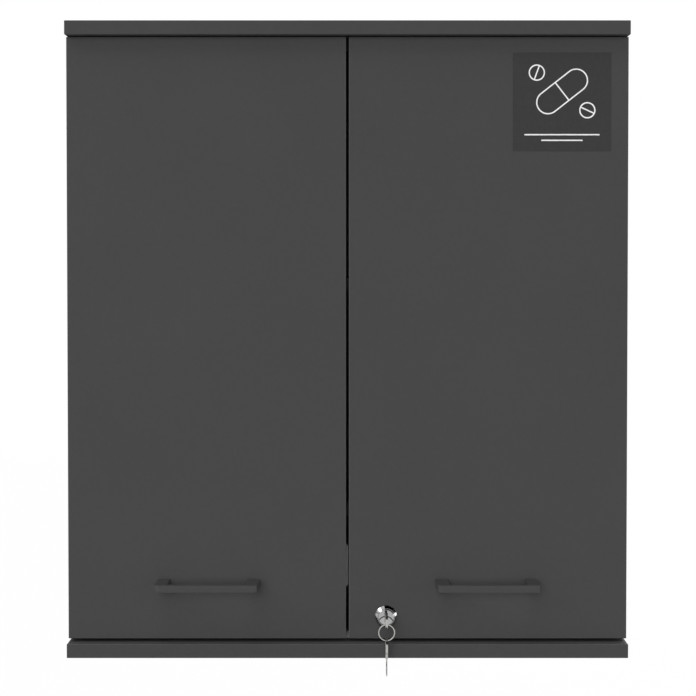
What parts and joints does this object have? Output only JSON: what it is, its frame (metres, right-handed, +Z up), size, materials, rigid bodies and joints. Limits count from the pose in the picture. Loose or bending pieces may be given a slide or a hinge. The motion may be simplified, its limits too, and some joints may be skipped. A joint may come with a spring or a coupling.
{
  "type": "wall cabinet",
  "caption": "Wall-hung cabinet with hinged doors, shelves, bow handles and a key lock that bolts one door to the bottom panel; a turn latch behind it holds the other.",
  "frame": {"origin": "midway between the two wall screw holes, on the wall face of the hanging rail", "axes": "+X to the right seen from the front, +Y into the wall, +Z up"},
  "size_m": [0.6, 0.2503, 0.6941],
  "materials": {
    "coated_board": "anthracite melamine coat on particle board, matt with a fine grain",
    "back_board": "grey lacquered hardboard",
    "dowel_wood": "bare beech",
    "bright_steel": "nickel plated",
    "cast_zinc": "dull zinc casting",
    "magnet_poles": "bare steel",
    "catch_plastic": "moulded, dark grey",
    "latch_plastic": "moulded, light grey",
    "handle_coat": "satin anthracite powder coat",
    "lock_chrome": "polished",
    "key_nickel": "nickel plated",
    "label_film": "dark grey film with white lines"
  },
  "bodies": {
    "cabinet": {"top_panel": "coated_board", "bottom_panel": "coated_board", "left_side": "coated_board", "right_side": "coated_board", "back_panel": "back_board", "hanging_rail": "coated_board", "upper_shelf": "coated_board", "lower_shelf": "coated_board", "shelf_pins": "bright_steel", "cam_housings": "cast_zinc", "cam_bolts": "bright_steel", "wood_dowels": "dowel_wood", "left_hinge_arms": "bright_steel", "right_hinge_arms": "bright_steel", "left_hinge_plates": "bright_steel", "right_hinge_plates": "bright_steel", "left_plate_screws": "bright_steel", "right_plate_screws": "bright_steel", "left_arm_screws": "bright_steel", "right_arm_screws": "bright_steel", "strike_plate": "bright_steel", "strike_screws": "bright_steel", "magnetic_catch": "catch_plastic", "catch_magnets": "magnet_poles", "catch_screws": "bright_steel", "door_stop": "latch_plastic", "door_stop_screws": "bright_steel"},
    "left_door": {"left_door": "coated_board", "left_handle": "handle_coat", "left_handle_screws": "bright_steel", "left_hinge_cups": "bright_steel", "left_hinge_pins": "bright_steel", "left_cup_screws": "bright_steel", "left_catch_plate": "bright_steel", "left_catch_screw": "bright_steel", "latch_pivot": "bright_steel"},
    "turn_latch": {"turn_latch": "latch_plastic"},
    "right_door": {"right_door": "coated_board", "right_handle": "handle_coat", "right_handle_screws": "bright_steel", "right_hinge_cups": "bright_steel", "right_hinge_pins": "bright_steel", "right_cup_screws": "bright_steel", "right_catch_plate": "bright_steel", "right_catch_screw": "bright_steel", "door_label": "label_film", "lock_case": "bright_steel", "lock_case_screws": "bright_steel", "lock_cylinder": "lock_chrome", "lock_rosette": "lock_chrome"},
    "lock_plug": {"lock_plug": "lock_chrome", "bolt_driver": "bright_steel", "driver_screw": "bright_steel"},
    "lock_bolt": {"lock_bolt": "bright_steel"},
    "door_key": {"door_key": "key_nickel"},
    "key_ring": {"key_ring": "key_nickel"},
    "spare_key": {"spare_key": "key_nickel"}
  },
  "joints": [
    {"name": "left_door_swing", "type": "hinge", "parent": "cabinet", "child": "left_door", "pos_m": [-0.2928, -0.2112, -0.27825], "axis": [0, 0, -1], "range_deg": [0, 100]},
    {"name": "right_door_swing", "type": "hinge", "parent": "cabinet", "child": "right_door", "pos_m": [0.2928, -0.2112, -0.27825], "axis": [0, 0, 1], "range_deg": [0, 100]},
    {"name": "latch_turn", "type": "hinge", "parent": "left_door", "child": "turn_latch", "pos_m": [-0.0063, -0.203, -0.5245], "axis": [0, 1, 0], "range_deg": [0, 90]},
    {"name": "plug_turn", "type": "hinge", "parent": "right_door", "child": "lock_plug", "pos_m": [0.0415, -0.203, -0.5765], "axis": [0, 1, 0], "range_deg": [0, 90]},
    {"name": "bolt_throw", "type": "slide", "parent": "right_door", "child": "lock_bolt", "axis": [0, 0, -1], "range_m": [0, 0.0085]},
    {"name": "key_withdraw", "type": "slide", "parent": "lock_plug", "child": "door_key", "axis": [0, -1, 0], "range_m": [0, 0.018]},
    {"name": "ring_swing", "type": "hinge", "parent": "door_key", "child": "key_ring", "pos_m": [0.0415, -0.24185, -0.5796], "axis": [1, 0, 0], "range_deg": [-60, 10]},
    {"name": "spare_key_swing", "type": "hinge", "parent": "key_ring", "child": "spare_key", "pos_m": [0.0415, -0.24185, -0.5964], "axis": [1, 0, 0], "range_deg": [-45, 15]}
  ],
  "couplings": [
    {"joint": "bolt_throw", "follows": "plug_turn", "m_per_rad": 0.0054019}
  ]
}
